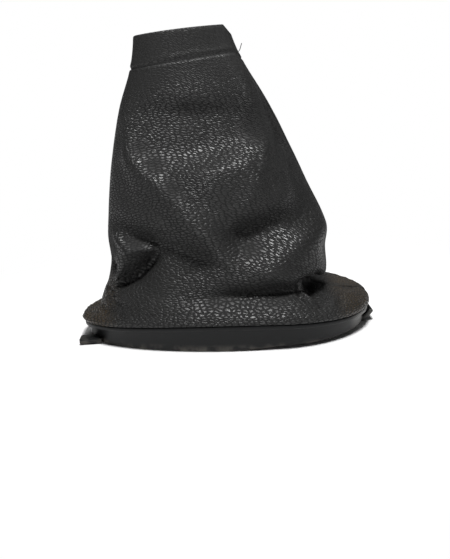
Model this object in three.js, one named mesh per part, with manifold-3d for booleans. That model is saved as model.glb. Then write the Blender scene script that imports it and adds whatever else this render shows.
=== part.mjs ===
// A gear lever gaiter: a boot of two leather panels, sewn together at both ends and hemmed at the
// collar, bonded to an egg-shaped plastic frame that snaps into a centre console.
// Millimetres, +Z up. +X runs from the frame's narrow end (nose) to its wide end (heel), -Y is the
// near side, and the frame's skirt stands on Z = 0.

import * as THREE from "three";
import { mergeVertices } from "three/addons/utils/BufferGeometryUtils.js";
import Module from "manifold-3d";

const wasm = await Module();
wasm.setup();

// Frame
const frameLength = 165;
const frameWidth = 102.5;
const noseLength = 112; // from the narrow tip to the widest section
const rimHeight = 14.7; // flange top above the floor, at mid length
const rimArch = 5; // how much lower the flange top is at the two ends
const flangeWidth = 7;
const flangeThickness = 2.2;
const lipOverhang = 3; // from the flange's outer edge in to the skirt
const skirtWall = 2.4;
const edgeBreak = 0.5;
const footRise = 1.7; // how far the skirt's foot clears the floor at the heel
const footRiseRun = 30; // it rises over this length, from mid length towards the heel

// Shelves inside the nose, which stiffen the frame beside the tongues
const shelfThickness = 2;
const shelfLift = 2.6;
const shelfReach = 54; // how far each shelf runs from the nose tip
const shelfGap = 24; // clear width between the two shelves
const shelfRibHeight = 0.7;
const shelfRibs = 3;

// Tongues at the nose, which hook under the console's edge
const tongueWidth = 9;
const tongueSpacing = 33;
const tongueThickness = 2.4;
const tongueReach = 1.3; // past the nose tip
const tongueLift = 0.8;

// Snap clip at the heel
const clipWidth = 17;
const clipCentreY = -3;
const clipReach = 2; // past the heel tip
const clipHeight = 6.4;
const clipThickness = 2.6;
const clipRootWidth = 3;
const clipDimpleRadius = 1;
const heelRibWidth = 7;
const heelRibDepth = 1.6;
const heelRibAngle = 27; // degrees either side of the clip

// Leather boot
const bootHeight = 174.5; // collar's top edge above the floor
const collarWidth = 54.5;
const collarDepth = 16;
const collarLean = 15.6; // how far the collar's centre stands towards the nose
const collarTilt = 2; // how much lower the collar is on its nose side
const hemDepth = 17.5;
const leatherThickness = 1.4;
const foldedThickness = 2.8; // where the leather is turned in and doubled
const seamAllowance = 7.5;
const seatGap = 0.3;
const seamGap = 0.3;
const seamClearance = 0.15; // extra room from the seam's plane, per column away from it

// Thread
const stitchPitch = 3.2;
const stitchLength = 2.7;
const threadThickness = 0.5;
const neckThickness = 0.2;
const threadGap = 0.45; // clear of the leather's facets
const stitchInset = 2.4; // from a seam to the row that holds its allowance down

// Fineness
const frameStations = 84;
const panelColumns = 34;

const halfLength = frameLength / 2;
const halfWidth = frameWidth / 2;
const heelLength = frameLength - noseLength;
const widestX = noseLength - halfLength;
const collarNose = -collarLean - collarWidth / 2;
const collarHeel = -collarLean + collarWidth / 2;
const seamHeelAngle = 0;
const seamNoseAngle = Math.PI;

// The flange's outline is two half ellipses that meet at the widest section.
function outlinePoint(angle, inset = 0) {
  const reach = Math.cos(angle) > 0 ? heelLength : noseLength;
  const point = new THREE.Vector2(
    widestX + reach * Math.cos(angle),
    halfWidth * Math.sin(angle),
  );
  const outward = new THREE.Vector2(Math.cos(angle) / reach, Math.sin(angle) / halfWidth);
  return point.addScaledVector(outward.normalize(), -inset);
}

function flangeTop(x) {
  return rimHeight - rimArch * (x / halfLength) ** 2;
}

function skirtFoot(x) {
  return footRise * THREE.MathUtils.smoothstep(x, 0, footRiseRun);
}

// Joins loops of equal length into one closed solid. Open ends are capped by pairing each loop's
// first points with its last ones.
function solidFromLoops(loops, ringClosed) {
  const size = loops[0].length;
  const spans = ringClosed ? loops.length : loops.length - 1;
  const index = [];
  const quad = (a, b, c, d) => index.push(a, b, c, a, c, d);
  for (let j = 0; j < spans; j++) {
    const here = j * size;
    const next = ((j + 1) % loops.length) * size;
    for (let k = 0; k < size; k++) {
      const up = (k + 1) % size;
      quad(here + k, next + k, next + up, here + up);
    }
  }
  if (!ringClosed) {
    const last = (loops.length - 1) * size;
    for (let k = 0; k < size / 2 - 1; k++) {
      const mate = size - 1 - k;
      quad(k, k + 1, mate - 1, mate);
      quad(last + k, last + mate, last + mate - 1, last + k + 1);
    }
  }
  const geometry = new THREE.BufferGeometry().setFromPoints(loops.flat());
  geometry.setIndex(index);
  return geometry;
}

function toManifold(geometry) {
  const bare = geometry.clone();
  bare.deleteAttribute("normal");
  bare.deleteAttribute("uv");
  const merged = mergeVertices(bare, 1e-4);
  return new wasm.Manifold(
    new wasm.Mesh({
      numProp: 3,
      vertProperties: merged.attributes.position.array,
      triVerts: new Uint32Array(merged.index.array),
    }),
  );
}

function fromManifold(solid) {
  const mesh = solid.getMesh();
  const geometry = new THREE.BufferGeometry();
  geometry.setAttribute("position", new THREE.BufferAttribute(mesh.vertProperties, 3));
  geometry.setIndex(new THREE.BufferAttribute(mesh.triVerts, 1));
  return geometry;
}

function extruded(shape, depth) {
  return new THREE.ExtrudeGeometry(shape, { depth, bevelEnabled: false, curveSegments: 4 });
}

// Flange and skirt as one section carried round the outline.
function frameRing() {
  const inner = lipOverhang + skirtWall;
  const loops = [];
  for (let j = 0; j < frameStations; j++) {
    const angle = (2 * Math.PI * j) / frameStations;
    const top = flangeTop(outlinePoint(angle).x);
    const under = top - flangeThickness;
    const foot = skirtFoot(outlinePoint(angle).x);
    const section = [
      [0, under],
      [0, top - edgeBreak],
      [edgeBreak, top],
      [flangeWidth, top],
      [flangeWidth, under],
      [inner, under],
      [inner, foot],
      [lipOverhang + edgeBreak, foot],
      [lipOverhang, foot + edgeBreak],
      [lipOverhang, under],
    ];
    loops.push(
      section.map(([inset, z]) => {
        const p = outlinePoint(angle, inset);
        return new THREE.Vector3(p.x, p.y, z);
      }),
    );
  }
  return toManifold(solidFromLoops(loops, true));
}

function outlineShape(inset) {
  const points = [];
  for (let j = 0; j < frameStations; j++) {
    points.push(outlinePoint((2 * Math.PI * j) / frameStations, inset));
  }
  return new THREE.Shape(points);
}

// The two shelves are what a stepped opening leaves of a plate that fills the skirt.
function shelves() {
  const plate = toManifold(
    extruded(outlineShape(lipOverhang + skirtWall / 2), shelfThickness).translate(0, 0, shelfLift),
  );
  const shelfEnd = shelfReach - halfLength;
  const throat = -halfLength + shelfReach * 0.4;
  const opening = new THREE.Shape();
  const side = (sign) => {
    const edge = outlinePoint(Math.acos((shelfEnd - widestX) / noseLength)).y - lipOverhang;
    return [
      [-frameLength, (sign * shelfGap) / 2],
      [throat - 1.5, (sign * shelfGap) / 2],
      [throat, sign * (shelfGap / 2 + 1.5)],
      [throat + 2, sign * (shelfGap - 1)],
      [throat + 5, sign * (shelfGap + 2)],
      [shelfEnd - 1, sign * (edge - skirtWall - 2.5)],
      [shelfEnd, sign * (edge - skirtWall)],
      [shelfEnd, sign * frameWidth],
      [frameLength, sign * frameWidth],
    ].map(([x, y]) => new THREE.Vector2(x, y));
  };
  opening.setFromPoints([...side(-1), ...side(1).reverse()]);
  const cut = toManifold(
    extruded(opening, shelfThickness * 3).translate(0, 0, shelfLift - shelfThickness),
  );
  return plate.subtract(cut);
}

// Low concentric ribs under the far shelf, cut to the shelf's own outline.
function shelfRibSolids(shelfSolid) {
  const ribWidth = 0.8;
  const ribSpacing = 2.6;
  let ribs = null;
  for (let n = 1; n <= shelfRibs; n++) {
    const outer = lipOverhang + skirtWall + n * ribSpacing;
    const band = toManifold(
      extruded(outlineShape(outer), shelfRibHeight + shelfThickness / 2),
    ).subtract(
      toManifold(extruded(outlineShape(outer + ribWidth), shelfThickness * 3).translate(0, 0, -1)),
    );
    ribs = ribs ? ribs.add(band) : band;
  }
  const farNose = new THREE.BoxGeometry(shelfReach * 0.5, halfWidth, shelfThickness * 8);
  farNose.translate(-halfLength + shelfReach * 0.25, halfWidth / 2, 0);
  const footprint = shelfSolid.translate([0, 0, -shelfRibHeight]);
  return ribs
    .translate([0, 0, shelfLift - shelfRibHeight])
    .intersect(toManifold(farNose))
    .intersect(footprint.add(shelfSolid));
}

function tongue(sign) {
  const centreY = (sign * tongueSpacing) / 2;
  const rootAngle = Math.PI - Math.asin(centreY / halfWidth);
  const root = outlinePoint(rootAngle).x + lipOverhang + skirtWall;
  const tip = -halfLength - tongueReach;
  const corner = 1.2;
  const low = centreY - tongueWidth / 2;
  const high = centreY + tongueWidth / 2;
  const shape = new THREE.Shape();
  shape.moveTo(root, low);
  shape.lineTo(root, high);
  shape.lineTo(tip + corner, high);
  shape.quadraticCurveTo(tip, high, tip, high - corner);
  shape.lineTo(tip, low + corner);
  shape.quadraticCurveTo(tip, low, tip + corner, low);
  shape.closePath();
  return toManifold(extruded(shape, tongueThickness).translate(0, 0, tongueLift));
}

// A sprung plate that turns up and out from the skirt's foot and ends under the lip.
function snapClip() {
  const foot = halfLength - lipOverhang - skirtWall;
  const tip = halfLength + clipReach;
  const profile = new THREE.Shape();
  profile.moveTo(foot, 0);
  profile.lineTo(foot + clipThickness * 0.7, 0);
  profile.lineTo(tip, clipHeight - clipThickness * 0.5);
  profile.lineTo(tip, clipHeight);
  profile.lineTo(tip - clipThickness * 0.8, clipHeight);
  profile.lineTo(foot + clipThickness * 0.6, clipThickness);
  profile.lineTo(foot, clipThickness);
  profile.closePath();
  const plate = extruded(profile, clipWidth);
  plate.rotateX(Math.PI / 2);
  plate.translate(0, clipCentreY + clipWidth / 2, 0);
  const slope = Math.atan2(clipHeight - clipThickness * 0.5, tip - foot - clipThickness * 0.7);
  const dimple = new THREE.CylinderGeometry(clipDimpleRadius, clipDimpleRadius, 2, 10);
  dimple.rotateX(Math.PI / 2).rotateY(-slope);
  dimple.translate((foot + tip) / 2 + 1.6, clipCentreY, clipHeight * 0.36);
  return toManifold(plate).subtract(toManifold(dimple));
}

// Behind the clip the skirt is thinned, so that the plate can spring.
function clipRecess() {
  const depth = skirtWall + flangeWidth;
  const box = new THREE.BoxGeometry(depth, clipWidth - 2 * edgeBreak, rimHeight);
  box.translate(
    halfLength - lipOverhang - clipRootWidth / 2 - depth / 2,
    clipCentreY,
    clipThickness + rimHeight / 2,
  );
  const keep = new THREE.BoxGeometry(depth, clipWidth, rimHeight);
  keep.translate(halfLength - depth / 2, clipCentreY, flangeTop(halfLength) + rimHeight / 2 - 1.2);
  return toManifold(box).subtract(toManifold(keep));
}

function heelRib(sign) {
  const angle = sign * THREE.MathUtils.degToRad(heelRibAngle);
  const wall = outlinePoint(angle, lipOverhang + skirtWall + heelRibDepth / 2 - 0.4);
  const foot = footRise + edgeBreak;
  const height = flangeTop(wall.x) - flangeThickness / 2 - foot;
  const rib = new THREE.BoxGeometry(heelRibDepth, heelRibWidth, height);
  const outward = Math.atan2(Math.sin(angle) / halfWidth, Math.cos(angle) / heelLength);
  rib.rotateZ(outward);
  rib.translate(wall.x, wall.y, height / 2 + foot);
  return toManifold(rib);
}

function baseFrame() {
  const shelfSolid = shelves();
  let frame = frameRing().subtract(clipRecess()).add(shelfSolid).add(shelfRibSolids(shelfSolid));
  for (const sign of [-1, 1]) {
    frame = frame.add(tongue(sign)).add(heelRib(sign));
  }
  return fromManifold(frame.add(snapClip()));
}

// Rings of the boot from the lip to the collar. inNose, inHeel and inSide say how far a ring has
// drawn in from the frame's outline (0) to the collar (1). upNose, upHeel and upSide say how far
// it has risen. rows is the number of rows of faces below it.
const bootRings = [
  { rows: 0, inNose: 0, inHeel: 0, inSide: 0, upNose: 0, upHeel: 0, upSide: 0 },
  { rows: 1, inNose: -0.035, inHeel: -0.018, inSide: -0.002, upNose: 0.012, upHeel: 0.014, upSide: 0.01 },
  { rows: 1, inNose: 0.025, inHeel: 0.028, inSide: 0.03, upNose: 0.028, upHeel: 0.034, upSide: 0.026 },
  { rows: 2, inNose: 0.15, inHeel: 0.17, inSide: 0.075, upNose: 0.034, upHeel: 0.046, upSide: 0.043 },
  { rows: 1, inNose: 0.25, inHeel: 0.33, inSide: 0.12, upNose: 0.042, upHeel: 0.06, upSide: 0.066 },
  { rows: 2, inNose: 0.29, inHeel: 0.45, inSide: 0.166, upNose: 0.072, upHeel: 0.086, upSide: 0.09 },
  { rows: 2, inNose: 0.34, inHeel: 0.4, inSide: 0.21, upNose: 0.11, upHeel: 0.116, upSide: 0.12 },
  { rows: 2, inNose: 0.39, inHeel: 0.3, inSide: 0.255, upNose: 0.148, upHeel: 0.118, upSide: 0.16 },
  { rows: 3, inNose: 0.43, inHeel: 0.302, inSide: 0.32, upNose: 0.22, upHeel: 0.215, upSide: 0.224 },
  { rows: 3, inNose: 0.42, inHeel: 0.306, inSide: 0.4, upNose: 0.312, upHeel: 0.31, upSide: 0.3 },
  { rows: 4, inNose: 0.49, inHeel: 0.455, inSide: 0.555, upNose: 0.46, upHeel: 0.46, upSide: 0.436 },
  { rows: 4, inNose: 0.573, inHeel: 0.575, inSide: 0.68, upNose: 0.589, upHeel: 0.593, upSide: 0.568 },
  { rows: 4, inNose: 0.72, inHeel: 0.713, inSide: 0.84, upNose: 0.748, upHeel: 0.739, upSide: 0.73 },
  { rows: 4, inNose: 0.914, inHeel: 0.918, inSide: 0.96, upNose: 1, upHeel: 1, upSide: 1, hem: true },
  { rows: 3, inNose: 1, inHeel: 1, inSide: 1, upNose: 1, upHeel: 1, upSide: 1 },
];

// Height of the collar's top edge, or of the hem's stitched line, at a given share across it.
function collarTop(cosine) {
  return bootHeight - collarTilt * 0.5 * (1 - cosine) - 0.5 * cosine ** 2;
}

function ringPoint(ring, angle) {
  const cosine = Math.cos(angle);
  const toEnd = cosine > 0 ? ring.inHeel : ring.inNose;
  const rise = cosine > 0 ? ring.upHeel : ring.upNose;
  const base = outlinePoint(angle);
  const mix = THREE.MathUtils.lerp;
  const middle = mix(widestX, -collarLean, ring.inSide);
  const end =
    cosine > 0 ? mix(halfLength, collarHeel, toEnd) : mix(-halfLength, collarNose, toEnd);
  const share = rise + (ring.upSide - rise) * (1 - cosine ** 2);
  const low = flangeTop(base.x) + seatGap;
  const high = collarTop(cosine) - (ring.hem ? hemDepth : 0);
  return new THREE.Vector3(
    middle + Math.abs(end - middle) * cosine,
    mix(halfWidth, collarDepth / 2, ring.inSide) * Math.sin(angle),
    mix(low, high, share),
  );
}

// Folds of the slack leather. x and z place a fold's middle as shares of the frame's length and
// the boot's height. run and across are its half length and half width in mm, lean is the angle
// of its run in degrees, and out is how far it stands out (or, below zero, sinks in).
const nearFolds = [
  { x: -0.05, z: 0.7, run: 42, across: 12, lean: -7, out: -4.6 },
  { x: 0.01, z: 0.53, run: 30, across: 13, lean: -6, out: 3.6 },
  { x: -0.175, z: 0.318, run: 26, across: 8, lean: -34, out: -6 },
  { x: -0.02, z: 0.37, run: 32, across: 6, lean: -62, out: 3.4 },
  { x: 0.15, z: 0.385, run: 27, across: 7, lean: 14, out: -5 },
  { x: 0.07, z: 0.335, run: 12, across: 9, lean: -60, out: -2.6 },
  { x: 0.25, z: 0.3, run: 20, across: 9, lean: 8, out: 4 },
  { x: 0.11, z: 0.175, run: 27, across: 6, lean: 2, out: -5 },
  { x: -0.13, z: 0.2, run: 28, across: 9, lean: -22, out: 3.4 },
  { x: -0.36, z: 0.33, run: 15, across: 7, lean: -48, out: 3.2 },
  { x: -0.365, z: 0.245, run: 9, across: 5, lean: 62, out: 4 },
  { x: -0.285, z: 0.245, run: 13, across: 5.5, lean: 38, out: -5 },
  { x: 0.33, z: 0.155, run: 9, across: 6, lean: -20, out: -3.5 },
  { x: 0.19, z: 0.66, run: 46, across: 6, lean: -70, out: 2.4 },
];
const farFolds = [
  { x: -0.02, z: 0.67, run: 38, across: 13, lean: 8, out: -3.6 },
  { x: -0.06, z: 0.48, run: 28, across: 12, lean: 10, out: 3 },
  { x: 0.12, z: 0.37, run: 30, across: 9, lean: 34, out: -5 },
  { x: -0.16, z: 0.33, run: 26, across: 8, lean: -30, out: -4.5 },
  { x: -0.02, z: 0.27, run: 26, across: 8, lean: 70, out: 3.4 },
  { x: 0.2, z: 0.19, run: 24, across: 7, lean: -8, out: -4 },
  { x: -0.25, z: 0.19, run: 20, across: 7, lean: 16, out: -3.6 },
  { x: 0.27, z: 0.33, run: 16, across: 9, lean: 0, out: 3 },
];

function foldHeight(point, angle, folds) {
  let height = 0;
  for (const fold of folds) {
    const lean = THREE.MathUtils.degToRad(fold.lean);
    const dx = point.x - fold.x * frameLength;
    const dz = point.z - fold.z * bootHeight;
    const along = (dx * Math.cos(lean) + dz * Math.sin(lean)) / fold.run;
    const over = (-dx * Math.sin(lean) + dz * Math.cos(lean)) / fold.across;
    height += fold.out * Math.exp(-(along ** 2) - over ** 2);
  }
  return height * Math.min(1, 1.6 * Math.abs(Math.sin(angle)));
}

// The boot's outer face as a grid: columns round it from the heel seam, rows up it from the lip.
const columns = 2 * panelColumns;
const rowPlan = [];
bootRings.forEach((ring, k) => {
  for (let n = 1; n <= ring.rows; n++) rowPlan.push((k - 1 + n / ring.rows) / (bootRings.length - 1));
});
rowPlan.unshift(0);
const hemRow = rowPlan.length - 1 - bootRings[bootRings.length - 1].rows;

function outerGrid() {
  const grid = [];
  for (let j = 0; j < columns; j++) {
    const angle = (2 * Math.PI * j) / columns;
    const rings = bootRings.map((ring) => ringPoint(ring, angle));
    const meridian = new THREE.CatmullRomCurve3(rings, false, "catmullrom", 0.5);
    const around = new THREE.Vector3(Math.cos(angle), Math.sin(angle), 0);
    const column = rowPlan.map((share) => {
      const p = meridian.getPoint(share);
      const squash = THREE.MathUtils.lerp(1, collarWidth / collarDepth, share);
      const outward = around.clone().multiply(new THREE.Vector3(1 / squash, 1, 1)).normalize();
      const hold = THREE.MathUtils.smoothstep(share, 0.12, 0.34);
      const free = hold * (1 - THREE.MathUtils.smoothstep(share, 0.86, 0.93));
      const folds = Math.sin(angle) < 0 ? nearFolds : farFolds;
      return p.addScaledVector(outward, foldHeight(p, angle, folds) * free);
    });
    grid.push(column);
  }
  return grid;
}

function gridNormal(grid, j, i) {
  const last = rowPlan.length - 1;
  const next = grid[(j + 1) % columns][i];
  const before = grid[(j + columns - 1) % columns][i];
  const above = grid[j][Math.min(i + 1, last)];
  const below = grid[j][Math.max(i - 1, 0)];
  const round = next.clone().sub(before);
  return round.cross(above.clone().sub(below)).normalize();
}

function wallThickness(grid, j, i) {
  const fromSeam = grid[j][i].distanceTo(grid[0][i]);
  const doubled = i >= hemRow || i === 0 || (i > 1 && fromSeam < seamAllowance);
  return doubled ? foldedThickness : leatherThickness;
}

// One panel: the columns from one seam to the other, with half the seam gap left at each edge.
function leatherPanel(grid, normals, side) {
  const loops = [];
  for (let step = 0; step <= panelColumns; step++) {
    const j = (side > 0 ? step : step + panelColumns) % columns;
    const atSeam = step === 0 || step === panelColumns;
    const shift = new THREE.Vector3(0, atSeam ? (side * seamGap) / 2 : 0, 0);
    const outer = grid[j].map((p) => p.clone().add(shift));
    const inner = grid[j].map((p, i) => {
      const q = p.clone().addScaledVector(normals[j][i], -wallThickness(grid, j, i)).add(shift);
      const flatFoot = i === 0;
      const flatTop = i === rowPlan.length - 1;
      if (flatFoot || flatTop) q.z = p.z;
      const fromEnd = Math.min(step, panelColumns - step);
      const least = seamGap / 2 + fromEnd * seamClearance;
      q.y = atSeam ? side * least : side * Math.max(side * q.y, least);
      return q;
    });
    loops.push([...outer, ...inner.reverse()]);
  }
  return solidFromLoops(loops, false);
}

// A row of stitches on the leather: thread that thins to a neck wherever it enters a needle hole.
function stitchRow(path, normals, ringClosed) {
  const curve = new THREE.CatmullRomCurve3(path, ringClosed);
  const count = Math.round(curve.getLength() / stitchPitch);
  const bare = (1 - stitchLength / stitchPitch) / 2;
  const loops = [];
  for (let n = 0; n < count; n++) {
    for (const part of [0, bare, 1 - bare]) {
      const share = (n + part) / count;
      const half = (part === 0 ? neckThickness : threadThickness) / 2;
      loops.push(threadSection(curve, share, half, normals));
    }
  }
  return solidFromLoops(loops, ringClosed);
}

function threadSection(curve, share, half, normals) {
  const at = share * (normals.length - 1);
  const low = Math.floor(at);
  const high = Math.min(low + 1, normals.length - 1);
  const along = curve.getTangentAt(share);
  const up = normals[low].clone().lerp(normals[high], at - low);
  const across = up.clone().cross(along).normalize();
  const lift = along.clone().cross(across).normalize();
  const centre = curve.getPointAt(share).addScaledVector(lift, threadGap + threadThickness / 2);
  const corner = (direction, sign) => centre.clone().addScaledVector(direction, sign * half);
  return [corner(across, -1), corner(lift, 1), corner(across, 1), corner(lift, -1)];
}

function hemStitches(grid, normals) {
  const path = [];
  const ups = [];
  for (let j = 0; j <= columns; j++) {
    if (j < columns) path.push(grid[j][hemRow].clone());
    ups.push(normals[j % columns][hemRow]);
  }
  return stitchRow(path, ups, true);
}

// A row beside a seam, on the panel that lies on the given side of it.
function seamStitches(grid, normals, seamColumn, side) {
  const towards = seamColumn === 0 ? side : -side;
  const neighbour = (seamColumn + towards + columns) % columns;
  const path = [];
  const ups = [];
  for (let i = 3; i < hemRow; i++) {
    const seam = grid[seamColumn][i];
    const beside = grid[neighbour][i];
    const share = stitchInset / seam.distanceTo(beside);
    const past = grid[(neighbour + towards + columns) % columns][i];
    const point =
      share <= 1
        ? seam.clone().lerp(beside, share)
        : beside.clone().lerp(past, (stitchInset - seam.distanceTo(beside)) / beside.distanceTo(past));
    path.push(point);
    ups.push(normals[share < 0.5 ? seamColumn : neighbour][i]);
  }
  return stitchRow(path, ups, false);
}

function named(name, geometry, material) {
  const mesh = new THREE.Mesh(geometry, material);
  mesh.name = name;
  return mesh;
}

const plastic = new THREE.MeshStandardMaterial({ color: 0x1d1f20, roughness: 0.55, metalness: 0 });
const leather = new THREE.MeshStandardMaterial({ color: 0x1b1b1b, roughness: 0.5, metalness: 0 });
const thread = new THREE.MeshStandardMaterial({ color: 0x0c0c0c, roughness: 0.8, metalness: 0 });

const grid = outerGrid();
const normals = grid.map((column, j) => column.map((_, i) => gridNormal(grid, j, i)));

const gaiter = new THREE.Group();
gaiter.add(
  named("base_frame", baseFrame(), plastic),
  named("near_panel", leatherPanel(grid, normals, -1), leather),
  named("far_panel", leatherPanel(grid, normals, 1), leather),
  named("hem_stitching", hemStitches(grid, normals), thread),
  named("heel_seam_near_stitching", seamStitches(grid, normals, 0, -1), thread),
  named("heel_seam_far_stitching", seamStitches(grid, normals, 0, 1), thread),
  named("nose_seam_stitching", seamStitches(grid, normals, panelColumns, -1), thread),
);

// The frame's long reach is from the tongues' tips to the clip's, so the origin is midway.
gaiter.position.x = (tongueReach - clipReach) / 2;

export default gaiter;
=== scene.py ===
# %% [markdown]
# # A gear lever gaiter
#
# The real object is a limp boot of black synthetic leather. Two panels are sewn together along
# the front and the back, hemmed at the top, and glued to an egg-shaped plastic frame that snaps
# into a car's centre console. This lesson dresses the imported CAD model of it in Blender: it
# rebuilds the leather with its folds, the frame with its small moulded details and the thread,
# and gives each a procedural finish.

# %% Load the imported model
import math

import bmesh
import bpy
import numpy as np
from mathutils import Matrix, Vector, noise


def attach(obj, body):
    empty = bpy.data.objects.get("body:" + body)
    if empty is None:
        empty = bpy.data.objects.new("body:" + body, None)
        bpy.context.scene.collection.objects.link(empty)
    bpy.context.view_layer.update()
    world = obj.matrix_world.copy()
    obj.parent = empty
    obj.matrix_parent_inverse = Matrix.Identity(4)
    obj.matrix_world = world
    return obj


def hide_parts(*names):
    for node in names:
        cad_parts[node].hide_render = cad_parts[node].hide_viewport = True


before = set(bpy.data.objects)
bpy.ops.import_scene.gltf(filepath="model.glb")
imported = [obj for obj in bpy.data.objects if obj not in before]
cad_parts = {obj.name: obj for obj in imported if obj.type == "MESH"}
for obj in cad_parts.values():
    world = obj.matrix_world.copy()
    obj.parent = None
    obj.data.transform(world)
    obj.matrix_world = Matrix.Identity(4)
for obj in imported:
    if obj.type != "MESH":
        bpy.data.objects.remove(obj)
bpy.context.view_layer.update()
MM = 0.001
print("nodes:", ", ".join(sorted(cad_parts)))

# %% [markdown]
# ## The camera
#
# The camera comes first, so that every later choice can be checked against the photograph. It
# stands 44 cm from the boot's middle, on the near side and a little lower than the collar, looks
# 7 degrees down, and is rolled by almost 4 degrees, because the photographer held it that way.
# The object fills only the upper part of the frame, so a small lens shift puts it there.

# %% Camera
CAMERA_SPOT = (-2.6, -441.4, 147.4)  # mm
PITCH = math.radians(7)
YAW = math.radians(0.16)
ROLL = math.radians(3.88)
LENS, SENSOR_WIDTH = 49.68, 36  # mm
LENS_SHIFT = (0.0266, -0.1996)


def new_object(name, data):
    made = bpy.data.objects.new(name, data)
    bpy.context.scene.collection.objects.link(made)
    return made


def evaluated(piece):
    """A piece as its modifiers leave it."""
    return piece.evaluated_get(bpy.context.evaluated_depsgraph_get())


camera_data = bpy.data.cameras.new("camera")
camera_data.lens = LENS
camera_data.sensor_width = SENSOR_WIDTH
camera_data.shift_x, camera_data.shift_y = LENS_SHIFT
camera_data.clip_start = 0.01
camera = new_object("camera", camera_data)
aim = Matrix.Rotation(YAW, 4, "Z") @ Matrix.Rotation(math.pi / 2 - PITCH, 4, "X")
aim = aim @ Matrix.Rotation(-ROLL, 4, "Z")
camera.matrix_world = Matrix.Translation(Vector(CAMERA_SPOT) * MM) @ aim
bpy.context.scene.camera = camera
print("camera at", [round(c, 3) for c in camera.location])

# %% [markdown]
# ## The outline everything follows
#
# The frame is egg-shaped: two half ellipses that share their widest section. The flange arches,
# so it stands higher at mid length than at its two ends. These few numbers are the same as in
# the part's source, in millimetres, and both the plastic and the leather are built on them.

# %% Outline and arch
FRAME_LENGTH = 165
FRAME_WIDTH = 102.5
NOSE_LENGTH = 112
HEEL_LENGTH = FRAME_LENGTH - NOSE_LENGTH
HALF_LENGTH = FRAME_LENGTH / 2
HALF_WIDTH = FRAME_WIDTH / 2
WIDEST_X = NOSE_LENGTH - HALF_LENGTH
RIM_HEIGHT = 14.7
RIM_ARCH = 5
ORIGIN_SHIFT = (1.3 - 2) / 2


def outline(angle, inset=0.0):
    """x and y in mm on the frame's outline, moved in by inset."""
    cosine, sine = np.cos(angle), np.sin(angle)
    reach = np.where(cosine > 0, HEEL_LENGTH, NOSE_LENGTH)
    out_x, out_y = cosine / reach, sine / HALF_WIDTH
    length = np.hypot(out_x, out_y)
    return (
        WIDEST_X + reach * cosine - inset * out_x / length,
        HALF_WIDTH * sine - inset * out_y / length,
    )


def flange_top(x):
    return RIM_HEIGHT - RIM_ARCH * (x / HALF_LENGTH) ** 2


def smoothstep(x, low, high):
    t = np.clip((x - low) / (high - low), 0, 1)
    return t * t * (3 - 2 * t)


print("frame", FRAME_LENGTH, "x", FRAME_WIDTH, "mm")

# %% [markdown]
# ## The boot's resting shape
#
# A boot like this is really two flat panels that hang in slack folds. Modelling it could start
# from flat cloth and a long simulation, but the folds would never fall where they lie on the
# real one. So its resting shape is lofted: fifteen rings, each of which says how far it has
# drawn in from the frame to the collar and how far it has risen. A smooth curve runs up through
# the rings above every point of the outline.

# %% Rings and meridians
BOOT_HEIGHT = 173.6
COLLAR_WIDTH = 55.5
COLLAR_DEPTH = 16
COLLAR_LEAN = 14.2
COLLAR_TILT = 3
HEM_DEPTH = 17.5
CORNER_DROP = 5  # how far the collar falls away at the heel seam
HEM_RISE = 3  # how much shallower the hem is at the heel
SEAT_GAP = 0.3

# rows below the ring; drawn in at nose, heel, side; risen at nose, heel, side
RINGS = [
    (0, 0, 0, 0, 0, 0, 0),
    (1, -0.035, -0.018, -0.002, 0.012, 0.014, 0.01),
    (1, 0.025, 0.022, 0.03, 0.028, 0.04, 0.026),
    (2, 0.14, 0.15, 0.075, 0.036, 0.054, 0.043),
    (1, 0.225, 0.32, 0.12, 0.044, 0.065, 0.066),
    (2, 0.26, 0.45, 0.166, 0.072, 0.086, 0.09),
    (2, 0.32, 0.41, 0.21, 0.11, 0.112, 0.12),
    (2, 0.385, 0.325, 0.255, 0.148, 0.118, 0.16),
    (3, 0.435, 0.322, 0.32, 0.22, 0.215, 0.224),
    (3, 0.425, 0.308, 0.4, 0.312, 0.31, 0.3),
    (4, 0.49, 0.443, 0.555, 0.46, 0.46, 0.436),
    (4, 0.573, 0.567, 0.68, 0.589, 0.593, 0.568),
    (4, 0.72, 0.708, 0.84, 0.748, 0.739, 0.73),
    (4, 0.914, 0.918, 0.96, 1, 1, 1),
    (3, 1, 1, 1, 1, 1, 1),
]
HEM_RING = 13


def ring_points(k, angle):
    """The points of ring k above each angle, as rows of x, y, z."""
    _, in_nose, in_heel, in_side, up_nose, up_heel, up_side = RINGS[k]
    cosine = np.cos(angle)
    heel = cosine > 0
    base_x, _ = outline(angle)
    draw = np.where(heel, in_heel, in_nose)
    rise = np.where(heel, up_heel, up_nose)
    share = rise + (up_side - rise) * (1 - cosine**2)
    frame_end = np.where(heel, HALF_LENGTH, -HALF_LENGTH)
    collar_end = np.where(heel, COLLAR_WIDTH / 2, -COLLAR_WIDTH / 2) - COLLAR_LEAN
    end = frame_end + (collar_end - frame_end) * draw
    middle = WIDEST_X + (-COLLAR_LEAN - WIDEST_X) * in_side
    depth = HALF_WIDTH + (COLLAR_DEPTH / 2 - HALF_WIDTH) * in_side
    top = BOOT_HEIGHT - COLLAR_TILT * 0.5 * (1 - cosine) - 0.5 * cosine**2
    top = top - CORNER_DROP * np.clip((cosine - 0.86) / 0.14, 0, 1)
    if k == HEM_RING:
        top = top - HEM_DEPTH + HEM_RISE * 0.5 * (1 + cosine)
    low = flange_top(base_x) + SEAT_GAP
    return np.stack(
        [middle + abs(end - middle) * cosine, depth * np.sin(angle), low + (top - low) * share],
        axis=-1,
    )


def smooth_between(a, b, c, d, t):
    """A smooth curve from b to c at t from 0 to 1, where a comes before b and d after c."""
    from_b, from_c = (c - a) / 2, (d - b) / 2
    return (
        b
        + from_b * t
        + (3 * (c - b) - 2 * from_b - from_c) * t**2
        + (2 * (b - c) + from_b + from_c) * t**3
    )


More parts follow.
